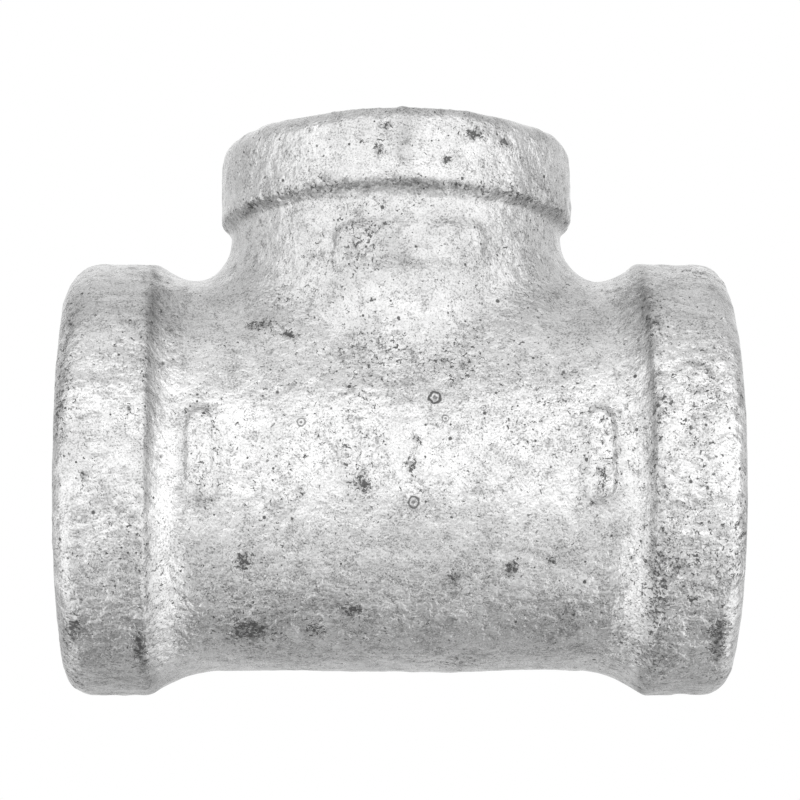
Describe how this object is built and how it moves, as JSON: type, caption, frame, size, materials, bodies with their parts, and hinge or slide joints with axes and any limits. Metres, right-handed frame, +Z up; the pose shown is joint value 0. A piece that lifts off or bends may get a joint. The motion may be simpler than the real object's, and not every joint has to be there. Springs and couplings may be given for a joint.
{
  "type": "reducing pipe tee",
  "caption": "Banded, galvanised malleable-iron reducing tee: taper-threaded run ports in line and a smaller threaded branch square to them, for joining steel pipe.",
  "frame": {"origin": "where the run axis and the branch axis cross, inside the waterway", "axes": "+X along the run towards the right port, +Z up the branch towards its port, -Y towards the front face with the bosses and pad"},
  "size_m": [0.0696, 0.0456, 0.059],
  "materials": {
    "galvanised_iron": "hot-dip galvanised cast skin, bright zinc, grainy and mottled with dark specks",
    "cut_thread": "bare iron cut after galvanising, lightly oiled"
  },
  "bodies": {
    "root": {"run_barrel": "galvanised_iron", "branch_neck": "galvanised_iron", "left_end_band": "galvanised_iron", "right_end_band": "galvanised_iron", "branch_end_band": "galvanised_iron", "left_pipe_thread": "cut_thread", "right_pipe_thread": "cut_thread", "branch_pipe_thread": "cut_thread", "left_barrel_boss": "galvanised_iron", "right_barrel_boss": "galvanised_iron", "neck_pad": "galvanised_iron"}
  },
  "joints": []
}
